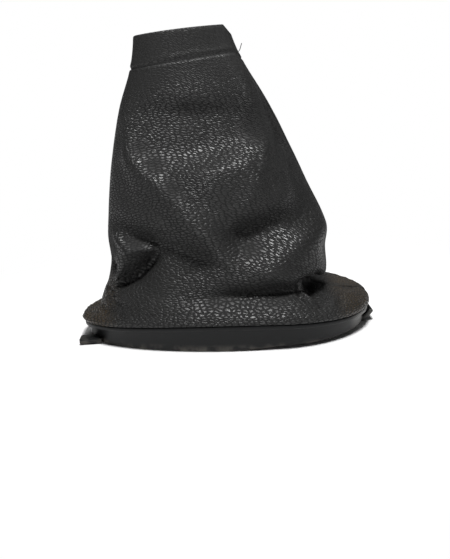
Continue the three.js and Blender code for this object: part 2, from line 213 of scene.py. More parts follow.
def boot_shape(angle, share):
    """Points of the lofted boot, in mm. share runs from 0 at the lip to 1 at the collar."""
    rings = np.stack([ring_points(k, angle) for k in range(len(RINGS))])
    rings = np.concatenate([[2 * rings[0] - rings[1]], rings, [2 * rings[-1] - rings[-2]]])
    at = np.clip(share, 0, 1) * (len(RINGS) - 1)
    k = np.minimum(at.astype(int), len(RINGS) - 2)
    t = (at - k)[..., None]
    here = np.arange(len(k))
    return smooth_between(*(rings[k + step, here] for step in range(4)), t)


print("rings:", len(RINGS))

# %% [markdown]
# ## The folds
#
# Slack leather hangs in a few broad folds, and each can be told as one soft hill or hollow: where
# its middle is, how long and wide it runs, how it leans, and how far it stands out. The near
# side's folds are placed where the photograph shows them. The far side is not seen, so it gets
# plainer ones of the same kind.

# %% Folds
# x and z as shares of the frame's length and the boot's height; then in mm how long the fold
# runs and how far it spreads above and below its line; its lean in degrees; how far it stands out
NEAR_FOLDS = [
    (-0.05, 0.715, 34, 8, 12, -3, -5.4),
    (-0.03, 0.63, 30, 11, 7, 0, -4.2),
    (0.0, 0.54, 28, 6.8, 17, 0, 4.7),
    (0.175, 0.62, 48, 7, 7, -80, 3.6),
    (0.265, 0.5, 38, 8, 8, -66, -5),
    (-0.28, 0.62, 32, 7, 7, -78, 3),
    (-0.1, 0.4, 34, 7, 7, -48, 4.8),
    (-0.17, 0.3, 33, 7.5, 18, -24, -7.5),
    (0.15, 0.353, 27, 8.5, 13, 15, -9),
    (0.07, 0.335, 12, 9, 9, -60, -3),
    (0.28, 0.3, 18, 8.5, 8.5, 16, 4.6),
    (0.17, 0.22, 18, 5, 5, -30, 2.6),
    (0.085, 0.15, 28, 7.5, 9, 4, -8.5),
    (-0.2, 0.17, 28, 10, 10, -12, -1.2),
    (-0.36, 0.33, 15, 7, 7, -48, 2.2),
    (-0.365, 0.245, 9, 5, 5, 62, 3.4),
    (-0.285, 0.245, 13, 5.5, 8, 38, -4.5),
    (0.33, 0.155, 9, 6, 6, -20, -4.5),
]
FAR_FOLDS = [
    (-0.02, 0.67, 38, 11, 15, 8, -4.8),
    (-0.06, 0.48, 28, 9, 15, 10, 4),
    (0.12, 0.37, 30, 8, 12, 34, -6.5),
    (-0.16, 0.33, 26, 8, 12, -30, -6),
    (-0.02, 0.27, 26, 8, 8, 70, 4.5),
    (0.2, 0.19, 24, 7, 8, -8, -5),
    (-0.25, 0.19, 20, 7, 8, 16, -4.8),
    (0.27, 0.33, 16, 8, 10, 0, 4),
]


def fold_height(points, folds):
    height = np.zeros(points.shape[:-1])
    for x, z, run, above, below, lean, out in folds:
        turn = math.radians(lean)
        dx = points[..., 0] - x * FRAME_LENGTH
        dz = points[..., 2] - z * BOOT_HEIGHT
        along = (dx * math.cos(turn) + dz * math.sin(turn)) / run
        over = -dx * math.sin(turn) + dz * math.cos(turn)
        over = over / np.where(over > 0, above, below)
        height += out * np.exp(-(along**2) - over**2)
    return height


def folded_boot(angle, share):
    """The lofted boot with its broad folds, in mm."""
    points = boot_shape(angle, share)
    squash = 1 + (COLLAR_WIDTH / COLLAR_DEPTH - 1) * share
    outward = np.stack([np.cos(angle) / squash, np.sin(angle), 0 * angle], axis=-1)
    outward /= np.linalg.norm(outward, axis=-1, keepdims=True)
    free = smoothstep(share, 0.12, 0.34) * (1 - smoothstep(share, 0.86, 0.93))
    free = free * np.tanh(1.8 * abs(np.sin(angle)))
    near = np.sin(angle) < 0
    height = np.where(near, fold_height(points, NEAR_FOLDS), fold_height(points, FAR_FOLDS))
    points = points + outward * (height * free)[..., None]
    points[..., 0] += ORIGIN_SHIFT
    return points


print("folds:", len(NEAR_FOLDS), "near,", len(FAR_FOLDS), "far")

# %% [markdown]
# ## One panel as a grid
#
# A panel is a rectangle of cloth in disguise: its columns run round from the heel seam to the
# nose seam and its rows run up from the lip. Blender's grid operator makes the rectangle, and
# the functions above say where each of its points goes. A small table turns row numbers into
# shares of the way up, with more rows where the leather rolls tightly over the frame.

# %% Panel grids
ROW_SHARES = [0.0]
for k, ring in enumerate(RINGS):
    ROW_SHARES += [(k - 1 + n / ring[0]) / (len(RINGS) - 1) for n in range(1, ring[0] + 1)]
CAD_ROWS = len(ROW_SHARES) - 1
HEM_SHARE = HEM_RING / (len(RINGS) - 1)


def grid_shares(columns, rows):
    """Shares across (0 heel seam, 1 nose seam) and up a panel, for a grid of that many cells."""
    across = np.linspace(0, 1, columns + 1)
    up = np.interp(np.linspace(0, CAD_ROWS, rows + 1), np.arange(CAD_ROWS + 1), ROW_SHARES)
    return across, up


def panel_points(side, columns, rows):
    """Points of a panel by column and row. side is -1 for the near panel and 1 for the far."""
    across, up = grid_shares(columns, rows)
    a, s = np.meshgrid(across, up, indexing="ij")
    flat = folded_boot(side * math.pi * a.ravel(), s.ravel())
    return flat.reshape(columns + 1, rows + 1, 3)


def run_lengths(points, axis=0):
    """The distance run so far along an axis of a path or grid of points, from 0."""
    steps = np.linalg.norm(np.diff(points, axis=axis), axis=-1)
    start = np.zeros_like(np.take(steps, [0], axis=axis))
    return np.concatenate([start, np.cumsum(steps, axis=axis)], axis=axis)


def piece_from(name, bm, smooth=True):
    """Turns a finished bmesh into an object."""
    mesh = bpy.data.meshes.new(name)
    bm.to_mesh(mesh)
    bm.free()
    if smooth:
        mesh.shade_smooth()
    return new_object(name, mesh)


def add_wall(piece, thickness, offset):
    """Gives a sheet its thickness in mm, inwards (-1) or outwards (1) of its face."""
    wall = piece.modifiers.new("wall", "SOLIDIFY")
    wall.thickness = thickness * MM
    wall.offset = offset
    return wall


def grid_normals(points, side):
    round_it = np.gradient(points, axis=0)
    up_it = np.gradient(points, axis=1)
    normal = np.cross(round_it, up_it) * side
    return normal / np.maximum(np.linalg.norm(normal, axis=-1, keepdims=True), 1e-9)


def grid_mesh(name, points, side, uv=None, marks=None):
    """Makes a mesh object from a grid of points in mm, with its faces outwards."""
    columns, rows = points.shape[0] - 1, points.shape[1] - 1
    bm = bmesh.new()
    cloth = bm.loops.layers.uv.new("cloth")
    for mark in marks or {}:
        bm.verts.layers.float.new(mark)
    bmesh.ops.create_grid(bm, x_segments=columns, y_segments=rows, size=1)
    place = {
        v: (round((v.co.x + 1) / 2 * columns), round((v.co.y + 1) / 2 * rows)) for v in bm.verts
    }
    for mark, values in (marks or {}).items():
        layer = bm.verts.layers.float[mark]
        for v, at in place.items():
            v[layer] = float(values[at])
    if uv is not None:
        for face in bm.faces:
            for loop in face.loops:
                loop[cloth].uv = uv[place[loop.vert]]
    for v, at in place.items():
        v.co = Vector(points[at]) * MM
    if side < 0:
        bmesh.ops.reverse_faces(bm, faces=bm.faces)
    return piece_from(name, bm)


print("rows in the plan:", CAD_ROWS)

# %% [markdown]
# ## Letting the leather settle
#
# Hills and hollows alone look like soft wax. Real leather has a fixed area, so where a fold
# takes up slack the surface buckles. A short cloth simulation adds that: the panel is told that
# its leather is a little larger than the space it fills, with its seams, hem and glued edge
# held, and for twenty frames it finds its own small buckles. How far a point may move is capped,
# so the folds stay where the photograph has them.

# %% Cloth
SLACK = 0.045
MOST_SETTLING = 2.2  # mm
CALMING = 7  # smoothing passes
SIM_COLUMNS, SIM_ROWS = 68, 72
SIM_FRAMES = 20
SEAM_GRIP = 9  # columns over which the seams' hold fades


def settle(side):
    """How far the cloth moves each point of a coarse panel grid, in mm."""
    start = panel_points(side, SIM_COLUMNS, SIM_ROWS)
    piece = grid_mesh("settling", start, side)
    held = piece.vertex_groups.new(name="held")
    coords = np.array([v.co for v in piece.data.vertices]) / MM
    flat = start.reshape(-1, 3)
    order = [int(np.argmin(((flat - c) ** 2).sum(1))) for c in coords]
    _, up = grid_shares(SIM_COLUMNS, SIM_ROWS)
    for number, spot in enumerate(order):
        i, j = divmod(spot, SIM_ROWS + 1)
        seam = min(i, SIM_COLUMNS - i) / SEAM_GRIP
        grip = max(1 - seam, 1 - smoothstep(up[j], 0.08, 0.3), smoothstep(up[j], 0.8, 0.9))
        held.add([number], float(np.clip(grip, 0, 1)), "REPLACE")
    cloth = piece.modifiers.new("cloth", "CLOTH")
    setting = cloth.settings
    setting.quality = 6
    setting.mass = 0.4
    setting.tension_stiffness = setting.compression_stiffness = 12
    setting.shear_stiffness = 6
    setting.bending_stiffness = 0.6
    setting.shrink_min = -SLACK
    setting.vertex_group_mass = "held"
    setting.effector_weights.gravity = 0
    for frame_number in range(1, SIM_FRAMES + 1):
        bpy.context.scene.frame_set(frame_number)
    moved = np.array([v.co for v in evaluated(piece).data.vertices]) / MM - coords
    bpy.data.objects.remove(piece)
    bpy.context.scene.frame_set(1)
    length = np.linalg.norm(moved, axis=1, keepdims=True)
    moved *= np.tanh(length / MOST_SETTLING) * MOST_SETTLING / np.maximum(length, 1e-9)
    offset = np.zeros_like(flat)
    offset[order] = moved
    offset = offset.reshape(start.shape)
    for _ in range(CALMING):
        inner = offset[1:-1, 1:-1]
        around = offset[:-2, 1:-1] + offset[2:, 1:-1] + offset[1:-1, :-2] + offset[1:-1, 2:]
        offset[1:-1, 1:-1] = inner / 2 + around / 8
    print("settled side", side, "by up to", round(float(length.max()), 2), "mm")
    return offset


def refine(offset, columns, rows):
    """Spreads the coarse grid's offsets over a finer grid, smoothly."""
    for axis, cells in ((0, columns), (1, rows)):
        offset = np.moveaxis(offset, axis, 0)
        count = offset.shape[0] - 1
        at = np.linspace(0, count, cells + 1)
        k = np.minimum(at.astype(int), count - 1)
        t = (at - k).reshape(-1, 1, 1)
        before, after = np.maximum(k - 1, 0), np.minimum(k + 2, count)
        offset = smooth_between(offset[before], offset[k], offset[k + 1], offset[after], t)
        offset = np.moveaxis(offset, 0, axis)
    return offset


SETTLED = {side: settle(side) for side in (-1, 1)}

# %% [markdown]
# ## Sharp creases
#
# Some folds are not soft: where the nose of the boot is pinched, and in the pocket under the
# heel's overhang, the leather has creased like paper. Each such crease or ridge is a short line
# drawn on the panel, in shares across and up it. It lifts or sinks the leather most on
# the line and fades quickly beside it, and it tapers to almost nothing at both ends.

# %% Crease lines
# side; width and height in mm; then the line's points as shares across and up the panel
PINCHED_NOSE = [
    (-1, 2.6, 2.6, [(0.885, 0.65), (0.868, 0.637), (0.835, 0.612), (0.801, 0.592)]),
    (-1, 2.6, 2.8, [(0.81, 0.6), (0.85, 0.54), (0.9, 0.485)]),
    (-1, 2.4, 2.6, [(0.83, 0.597), (0.801, 0.598), (0.765, 0.6), (0.72, 0.592)]),
    (-1, 3.0, -6.0, [(0.72, 0.595), (0.765, 0.55), (0.801, 0.515), (0.85, 0.488), (0.9, 0.473)]),
    (-1, 2.4, -1.8, [(0.82, 0.643), (0.76, 0.63), (0.71, 0.61)]),
    (-1, 4.6, -4.2, [(0.98, 0.56), (0.92, 0.545), (0.87, 0.54)]),
]
NOSE_CORNER = [
    (-1, 1.3, -1.5, [(0.95, 0.46), (0.9, 0.43), (0.86, 0.42)]),
    (-1, 1.2, -1.3, [(0.82, 0.44), (0.87, 0.4), (0.91, 0.36)]),
    (-1, 1.3, -1.6, [(0.89, 0.41), (0.85, 0.35), (0.8, 0.31)]),
    (-1, 1.5, 1.6, [(0.95, 0.33), (0.93, 0.25), (0.88, 0.19)]),
    (-1, 1.4, -1.4, [(0.96, 0.26), (0.95, 0.2), (0.9, 0.15)]),
    (1, 1.5, -1.6, [(0.95, 0.45), (0.88, 0.42), (0.83, 0.36)]),
    (1, 2.2, -2.2, [(0.74, 0.58), (0.8, 0.54), (0.88, 0.5)]),
]
HEEL_POCKET = [
    (-1, 3.4, -5.2, [(0.29, 0.42), (0.22, 0.4), (0.13, 0.395), (0.04, 0.39)]),
    (-1, 1.3, -2.4, [(0.29, 0.47), (0.295, 0.4), (0.31, 0.32), (0.33, 0.27)]),
    (-1, 1.2, 1.5, [(0.26, 0.34), (0.285, 0.31), (0.3, 0.28), (0.32, 0.22)]),
    (-1, 1.7, -2.0, [(0.18, 0.36), (0.2, 0.32), (0.27, 0.26), (0.35, 0.17)]),
    (-1, 1.3, 1.4, [(0.12, 0.34), (0.15, 0.29), (0.22, 0.23), (0.3, 0.17)]),
    (-1, 1.5, -1.6, [(0.06, 0.3), (0.1, 0.27), (0.17, 0.22), (0.27, 0.16)]),
    (1, 3.0, -2.6, [(0.3, 0.43), (0.22, 0.405), (0.12, 0.4), (0.03, 0.4)]),
    (1, 1.7, -1.8, [(0.16, 0.35), (0.22, 0.29), (0.3, 0.2)]),
]
HEEL_WRINKLES = [
    (-1, 1.3, -1.5, [(0.11, 0.262), (0.06, 0.256), (0.02, 0.236), (0.0, 0.22)]),
    (-1, 1.3, -1.6, [(0.11, 0.242), (0.06, 0.236), (0.02, 0.216), (0.0, 0.2)]),
    (-1, 1.3, -1.4, [(0.1, 0.222), (0.05, 0.214), (0.01, 0.194), (0.0, 0.18)]),
]
LONG_RIDGES = [
    (
        -1,
        5.5,
        2.3,
        [(0.28, 0.93), (0.25, 0.888), (0.248, 0.84), (0.265, 0.788), (0.327, 0.757), (0.423, 0.705),
         (0.5, 0.665)],
    ),
    (-1, 6.0, -3.0, [(0.12, 0.9), (0.13, 0.82), (0.15, 0.74), (0.2, 0.68)]),
    (
        -1,
        4.5,
        0.9,
        [(0.86, 0.86), (0.8, 0.79), (0.72, 0.755), (0.64, 0.705), (0.58, 0.65), (0.52, 0.6),
         (0.44, 0.55)],
    ),
]
CREASES = LONG_RIDGES + PINCHED_NOSE + NOSE_CORNER + HEEL_POCKET + HEEL_WRINKLES


def crease_height(points, side):
    """Height in mm that the crease lines of one panel add at each of its points."""
    height = np.zeros(points.shape[:-1])
    for line_side, width, out, line in CREASES:
        if line_side != side:
            continue
        across, up = (np.array(c) for c in zip(*line))
        path = folded_boot(side * math.pi * across, up)
        reach = run_lengths(path)
        nearest = np.full(height.shape, 1e9)
        along = np.zeros(height.shape)
        for n in range(len(path) - 1):
            span = path[n + 1] - path[n]
            t = np.clip(((points - path[n]) @ span) / (span @ span), 0, 1)
            away = np.linalg.norm(points - (path[n] + t[..., None] * span), axis=-1)
            closer = away < nearest
            along = np.where(closer, (reach[n] + t * np.linalg.norm(span)) / reach[-1], along)
            nearest = np.where(closer, away, nearest)
        taper = np.minimum(1, 3.5 * np.minimum(along, 1 - along) + 0.15)
        height += out * taper * np.exp(-((nearest / width) ** 1.5))
    return height


print("crease lines:", len(CREASES))

# %% [markdown]
# ## Gathers and stitched grooves
#
# The smallest forms go on last: the seams roll inwards, the thread pulls a groove round the hem,
# and the leather gathers in fine pleats where it is drawn over the frame's edge. Each is a height
# added along the surface's normal. Three marks are kept with them for the leather's finish: where
# the thread has pressed the grain flat, with shade painted into its grooves and the seam rolls;
# where the leather is pulled smooth; and where it is dull and shade is painted into its colour.

# %% Fine forms
FINE_COLUMNS, FINE_ROWS = 170, 180
LEATHER_THICKNESS = 1.3
SEAM_ROLL, SEAM_SPREAD = 0.9, 0.9
GROOVE, GROOVE_SPREAD = 0.9, 0.38
HEM_SWELL, HEM_SWELL_SPREAD = 0.2, 1.6
STITCH_INSET = 2.4
STITCH_DENT, STITCH_SPREAD = 0.3, 0.7
HEEL_DULL_SHADE, NOSE_DULL_SHADE = 22, 11  # how far from its seam the leather is dull and painted darker as shade
GATHER_HEIGHT = 0.45
GATHER_SPACING = 3.4
PUCKER_SPACING = 3.8
FINE_UP = grid_shares(FINE_COLUMNS, FINE_ROWS)[1]
HEM_ROW = int(np.argmin(abs(FINE_UP - HEM_SHARE)))

# side, share across, share up, radius in mm, strength
SMOOTH_SPOTS = [
    (-1, 0.765, 0.615, 8, 0.8),
    (-1, 0.72, 0.4, 14, 0.8),
    (-1, 0.52, 0.7, 11, 0.8),
    (1, 0.72, 0.45, 12, 0.8),
]
# spots where the leather is rougher and its colour is painted darker as shade
DULL_SHADE_SPOTS = [
    (-1, 0.79, 0.613, 11, 1.0),
    (-1, 0.9, 0.61, 9, 1.0),
    (-1, 0.75, 0.8, 9, 0.9),
    (-1, 0.69, 0.77, 9, 1.0),
    (-1, 0.64, 0.72, 10, 1.0),
    (-1, 0.28, 0.82, 13, 1.0),
    (-1, 0.31, 0.75, 8, 0.9),
    (-1, 0.57, 0.39, 14, 0.9),
    (-1, 0.5, 0.58, 12, 0.9),
    (-1, 0.6, 0.3, 13, 0.8),
    (-1, 0.48, 0.28, 13, 0.8),
]
PUCKERS = {-1: [(0.9, 0.38, 9, 0.8), (0.24, 0.3, 11, 0.9)], 1: [(0.88, 0.36, 9, 0.8)]}


def bell(x, width):
    """1 at 0, fading over a width on both sides of it."""
    return np.exp(-((x / width) ** 2))


def near_spot(points, side, across, up, radius):
    """1 at a spot of a panel, given by its shares, fading over a radius in mm."""
    middle = folded_boot(side * math.pi * np.array([across]), np.array([up]))[0]
    return bell(np.linalg.norm(points - middle, axis=-1), radius)


def wave(points, direction, spacing, seed):
    """Sharp-crested wrinkles across a direction, bent by noise, from 0 to 1."""
    turn = math.radians(direction)
    bend = np.array(
        [noise.noise(Vector((p[0] / 9, p[1] / 9, p[2] / 9 + seed))) for p in points.reshape(-1, 3)]
    ).reshape(points.shape[:-1])
    along = points[..., 0] * math.sin(turn) - points[..., 2] * math.cos(turn)
    phase = along / spacing + 1.6 * bend
    return 1 - 2 * abs(phase - np.floor(phase) - 0.5)


def panel_distances(points):
    """Distances in mm from the heel seam, the nose seam, the lip and the hem's stitching."""
    from_heel = run_lengths(points)
    climbed = run_lengths(points, axis=1)
    return from_heel, from_heel[-1] - from_heel, climbed, climbed - climbed[:, [HEM_ROW]]


def spots(points, side, entries):
    """The strongest mark at each point, fading with the distance from the spots of a side."""
    marks = np.zeros(points.shape[:-1])
    for spot_side, across, up, radius, strength in entries:
        if spot_side == side:
            marks = np.maximum(marks, strength * near_spot(points, side, across, up, radius))
    return marks


def fine_forms(points, side):
    """Height in mm of the fine forms of a panel, and its marks from 0 to 1."""
    from_heel, from_nose, climbed, from_hem = panel_distances(points)
    below_hem = 1 - smoothstep(from_hem, -3, -1)
    seams = bell(from_heel, SEAM_SPREAD) + bell(from_nose, SEAM_SPREAD)
    rows = bell(from_heel - STITCH_INSET, STITCH_SPREAD)
    rows = (rows + bell(from_nose - STITCH_INSET, STITCH_SPREAD)) * below_hem
    height = -SEAM_ROLL * seams - GROOVE * bell(from_hem, GROOVE_SPREAD) - STITCH_DENT * rows
    height += HEM_SWELL * bell(from_hem - 2.2, HEM_SWELL_SPREAD)

    gathers = wave(points, 90, GATHER_SPACING, 3.1) * GATHER_HEIGHT
    height += gathers * smoothstep(climbed, 1, 5) * (1 - smoothstep(climbed, 9, 22))
    for n, (across, up, radius, out) in enumerate(PUCKERS[side]):
        wrinkles = wave(points, 60, PUCKER_SPACING, 7.7 + n) - 0.5
        height += out * wrinkles * near_spot(points, side, across, up, radius)
    edge = smoothstep(FINE_UP, 0.0, 0.05) * (1 - smoothstep(FINE_UP, 0.97, 1))

    smooth = np.maximum(spots(points, side, SMOOTH_SPOTS), 0.9 * smoothstep(from_hem, -24, -8))
    # grain pressed flat along the hem, the stitch rows and the seam rolls; the same mark paints
    # shade into these grooves
    pressed_and_shaded = np.clip(bell(from_hem + 0.5, 1.1) + 0.8 * rows + 0.8 * seams, 0, 1)
    low = 1 - smoothstep(FINE_UP, 0.65, 0.8)
    # rougher, and painted darker as shade, near the heel seam, low by the nose seam and at the
    # spots
    dull_and_shaded = bell(from_heel, HEEL_DULL_SHADE) + 0.8 * low * bell(from_nose, NOSE_DULL_SHADE)
    dull_and_shaded = dull_and_shaded + spots(points, side, DULL_SHADE_SPOTS)
    return height * edge, {"pressed_and_shaded": pressed_and_shaded, "smooth": smooth, "dull_and_shaded": np.minimum(dull_and_shaded, 1)}


def dressed_panel(side):
    """The outer face of a panel with all its forms, by column and row in mm, and its marks."""
    points = panel_points(side, FINE_COLUMNS, FINE_ROWS)
    creases = crease_height(points, side)
    points = points + refine(SETTLED[side], FINE_COLUMNS, FINE_ROWS)
    points = points + grid_normals(points, side) * creases[..., None]
    height, marks = fine_forms(points, side)
    points = points + grid_normals(points, side) * height[..., None]
    points[..., 1] = side * np.maximum(side * points[..., 1], 0)
    points[[0, -1], :, 1] = 0
    return points, marks


PANELS, MARKS, NORMALS = {}, {}, {}
for side in (-1, 1):
    PANELS[side], MARKS[side] = dressed_panel(side)
    NORMALS[side] = grid_normals(PANELS[side], side)
print("fine grid:", PANELS[1].shape)

# %% [markdown]
# ## The turned hem and the wall
#
# A raw edge would fray, so at the collar the leather is folded in over itself and sewn down. The
# grid simply goes on past the top: over the fold in a half circle, and down the inside as far as
# the stitching. Solidify then gives the whole sheet its thickness, with the cloth backing as a
# second material on the inside.

# %% Leather panels
FOLD_STEPS = 5
SEAM_ROOM = 0.04  # mm from the middle plane that a panel keeps, per column away from a seam


def with_turned_hem(side):
    """A panel's grid of points in mm, carried on over the collar and down to the hem's stitches."""
    points, normals = PANELS[side], NORMALS[side]
    rise = points[:, -1] - points[:, -2]
    rise /= np.linalg.norm(rise, axis=-1, keepdims=True)
    radius = LEATHER_THICKNESS * 0.95
    rows = [points]
    for n in range(1, FOLD_STEPS):
        turn = math.pi * n / FOLD_STEPS
        arc = points[:, -1] + radius * (
            rise * math.sin(turn) - normals[:, -1] * (1 - math.cos(turn))
        )
        rows.append(arc[:, None])
    rows.append((points - 2 * radius * normals)[:, HEM_ROW:][:, ::-1])
    whole = np.concatenate(rows, axis=1)
    column = np.arange(whole.shape[0])
    least = np.minimum(column, column[::-1])[:, None] * SEAM_ROOM
    whole[..., 1] = side * np.maximum(side * whole[..., 1], least)
    return whole


def cloth_uv(side, rows):
    """Distances in metres across the panel from its middle, and up it from the lip."""
    across, up = grid_shares(FINE_COLUMNS, FINE_ROWS)
    a, u = np.meshgrid(across, up, indexing="ij")
    plain = boot_shape(side * math.pi * a.ravel(), u.ravel()).reshape(*a.shape, 3)
    from_heel, _, climbed, _ = panel_distances(plain)
    centred = from_heel - from_heel[len(across) // 2]
    added = rows - centred.shape[1]
    turned = climbed[:, -1:] + np.arange(1, added + 1) * HEM_DEPTH / added
    across_all = np.concatenate([centred, np.repeat(centred[:, -1:], added, axis=1)], axis=1)
    return np.stack([across_all, np.concatenate([climbed, turned], axis=1)], axis=-1) * MM


def leather_panel(name, side):
    points = with_turned_hem(side)
    added = points.shape[1] - PANELS[side].shape[1]
    marks = {k: np.pad(v, ((0, 0), (0, added))) for k, v in MARKS[side].items()}
    piece = grid_mesh(name, points, side, cloth_uv(side, points.shape[1]), marks)
    add_wall(piece, LEATHER_THICKNESS, -1).material_offset = 1
    return piece


near_leather = leather_panel("near_leather", -1)
far_leather = leather_panel("far_leather", 1)
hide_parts("near_panel")
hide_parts("far_panel")
print("faces per panel:", len(near_leather.data.polygons))

# %% [markdown]
# ## The seam's allowances
#
# Where the panels are joined, their edges lie inside the boot and are sewn flat. At the heel they
# are pressed open, so two strips of grained leather show there from below. At the nose both lie
# to the far side, as one strip. Each strip is a narrow grid on the panel's inside, a little more
# than the wall's thickness in from the outer face.

# %% Seam allowances
ALLOWANCE = 7.5
ALLOWANCE_WALL = 0.8


def beside_seam(values, side, at_heel, rows, distance):
    """A panel's grid values at a distance in mm from a seam, row by row."""
    way = 1 if at_heel else -1
    away = run_lengths(PANELS[side][::way, rows])
    near_values = values[::way, rows]
    return np.array(
        [
            [np.interp(distance, away[:, r], near_values[:, r, c]) for c in range(3)]
            for r in range(away.shape[1])
        ]
    )


def allowance(name, side, at_heel):
    columns = 7 if at_heel else 6
    inside = PANELS[side] - NORMALS[side] * (LEATHER_THICKNESS + 0.5)
    wanted = np.linspace(0.5, ALLOWANCE, columns + 1)
    rows = slice(6, HEM_ROW - 2, 2)
    strip = beside_seam(inside, side, at_heel, rows, wanted).transpose(2, 0, 1)
    strip[..., 1] = side * np.maximum(side * strip[..., 1], 0.25)
    up_strip = np.linspace(0, 0.16, strip.shape[1])
    uv = np.stack(np.meshgrid(wanted * MM, up_strip, indexing="ij"), axis=-1)
    piece = grid_mesh(name, strip, -side if at_heel else side, uv)
    add_wall(piece, ALLOWANCE_WALL, 1)
    return piece


allowances = [
    allowance("near_heel_allowance", -1, True),
    allowance("far_heel_allowance", 1, True),
    allowance("nose_allowance", 1, False),
]
print("allowances:", len(allowances))

# %% [markdown]
# ## The thread
#
# Each stitch is a short run of thread that dives into the leather at both ends. One small
# capsule, drawn out from a sphere, is copied along the hem, along both sides of the heel seam
# and beside the nose seam. The rows lie in the grooves that were pressed for them.

# %% Stitches
THREAD = 0.42
STITCH_PITCH = 3.2
STITCH_LENGTH = 2.9
STITCH_SINK = 0.02


def along_path(path, normals, closed):
    """Places one stitch after another along a path: their centres, directions and normals."""
    if closed:
        path = np.concatenate([path, path[:1]])
        normals = np.concatenate([normals, normals[:1]])
    reach = run_lengths(path)
    count = int(reach[-1] // STITCH_PITCH)
    at = (np.arange(count) + 0.5) / count * reach[-1]

    def sample(values, where):
        return np.stack([np.interp(where, reach, values[:, c]) for c in range(3)], axis=1)

    half = STITCH_LENGTH / 2
    ahead = sample(path, np.minimum(at + half, reach[-1]))
    behind = sample(path, np.maximum(at - half, 0))
    return sample(path, at), ahead - behind, sample(normals, at)


def stitch_row(name, path, normals, closed=False):
    bm = bmesh.new()
    centres, directions, ups = along_path(path, normals, closed)
    for centre, direction, up in zip(centres, directions, ups):
        made = bmesh.ops.create_uvsphere(bm, u_segments=6, v_segments=5, radius=0.5 * MM)["verts"]
        along = Vector(direction).normalized()
        across = Vector(up).cross(along).normalized()
        out = along.cross(across)
        basis = Matrix((across, out, along)).transposed().to_4x4()
        size = Matrix.Diagonal((THREAD, THREAD * 0.9, Vector(direction).length, 1))
        spot = Matrix.Translation((Vector(centre) - out * STITCH_SINK) * MM)
        bmesh.ops.transform(bm, matrix=spot @ basis @ size, verts=made)
    bmesh.ops.recalc_face_normals(bm, faces=bm.faces)
    print(name, len(centres), "stitches")
    return piece_from(name, bm)


def hem_path():
    """The hem's stitching line, once round the collar, and its normals."""
    return [
        np.concatenate([grids[1][:, HEM_ROW], grids[-1][::-1, HEM_ROW][1:-1]])
        for grids in (PANELS, NORMALS)
    ]


def seam_path(side, at_heel):
    """The line of stitches beside a seam, from the frame up to the hem, and its normals."""
    rows = slice(8, HEM_ROW - 2)
    return [beside_seam(g[side], side, at_heel, rows, STITCH_INSET) for g in (PANELS, NORMALS)]


hem_thread = stitch_row("hem_thread", *hem_path(), closed=True)
heel_threads = [
    stitch_row("heel_thread_near", *seam_path(-1, True)),
    stitch_row("heel_thread_far", *seam_path(1, True)),
]
nose_thread = stitch_row("nose_thread", *seam_path(-1, False))
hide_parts("hem_stitching")
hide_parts("heel_seam_near_stitching")
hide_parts("heel_seam_far_stitching")
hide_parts("nose_seam_stitching")

# %% [markdown]
# ## The loose end
#
# The seam's thread was never trimmed: a short end stands out of the collar at the heel side. It
# is a curve with a round bevel, turned into a mesh.

# %% Thread end
TAIL_RADIUS = 0.22
tail_start = Vector(PANELS[1][0, -12]) + Vector((0.0, 0.2, 0.0))
tail_path = [(0, 0, 0), (1.1, 0.2, 0.5), (1.9, 0.3, 1.9), (2.2, 0.2, 3.4), (2.9, 0.0, 4.9)]
tail_curve = bpy.data.curves.new("thread_end", "CURVE")
tail_curve.dimensions = "3D"
tail_curve.bevel_depth = TAIL_RADIUS * MM
tail_curve.bevel_resolution = 2
tail_curve.use_fill_caps = True
tail_line = tail_curve.splines.new("NURBS")
tail_line.points.add(len(tail_path) - 1)
for point, at in zip(tail_line.points, tail_path):
    point.co = (*((tail_start + Vector(at)) * MM), 1)
tail_line.use_endpoint_u = True
tail_line.order_u = 4
tail_object = new_object("thread_end_curve", tail_curve)
thread_end = new_object("thread_end", bpy.data.meshes.new_from_object(evaluated(tail_object)))
bpy.data.objects.remove(tail_object)
print("thread end at", [round(c, 1) for c in tail_start])

# %% [markdown]
# ## The frame's ring
#
# The frame is injection moulded: a flange that the leather is glued to, and under it a skirt
# that drops into the console. Both are one section carried round the outline. A circle of
# edges is extruded once for each corner of the section, and each new ring of points is put at
# its own inset and height. The last ring is bridged to the first.

# %% Flange and skirt
STATIONS = 240
FOOT_RISE = 1.7
FOOT_RUN = 30
SKIRT_INSIDE = 5.4  # inset of the skirt's inner face


def skirt_foot(x):
    return FOOT_RISE * smoothstep(x, 0, FOOT_RUN)


# inset in mm, the height's datum, and the height above it
SECTION = [
    (0.0, "top", -1.7),
    (0.0, "top", -0.7),
    (0.2, "top", -0.2),
    (0.7, "top", 0.0),
    (7.0, "top", 0.0),
    (7.0, "top", -2.0),
    (6.8, "top", -2.2),
    (5.8, "top", -2.2),
    (5.4, "top", -2.6),
    (5.4, "foot", 0.35),
    (5.1, "foot", 0.0),
    (3.6, "foot", 0.0),
    (3.1, "foot", 0.3),
    (3.0, "foot", 0.9),
    (3.0, "top", -5.6),
    (2.7, "top", -5.1),
    (2.7, "top", -2.6),
    (2.4, "top", -2.2),
    (0.4, "top", -2.2),
    (0.1, "top", -2.0),
]


def verts_of(geometry):
    return [g for g in geometry if isinstance(g, bmesh.types.BMVert)]


def place_ring(verts, angles, inset, datum, height):
    for v in verts:
        x, y = outline(v[angles], inset)
        base = flange_top(outline(v[angles])[0]) if datum == "top" else skirt_foot(x)
        v.co = Vector((x + ORIGIN_SHIFT, y, base + height)) * MM


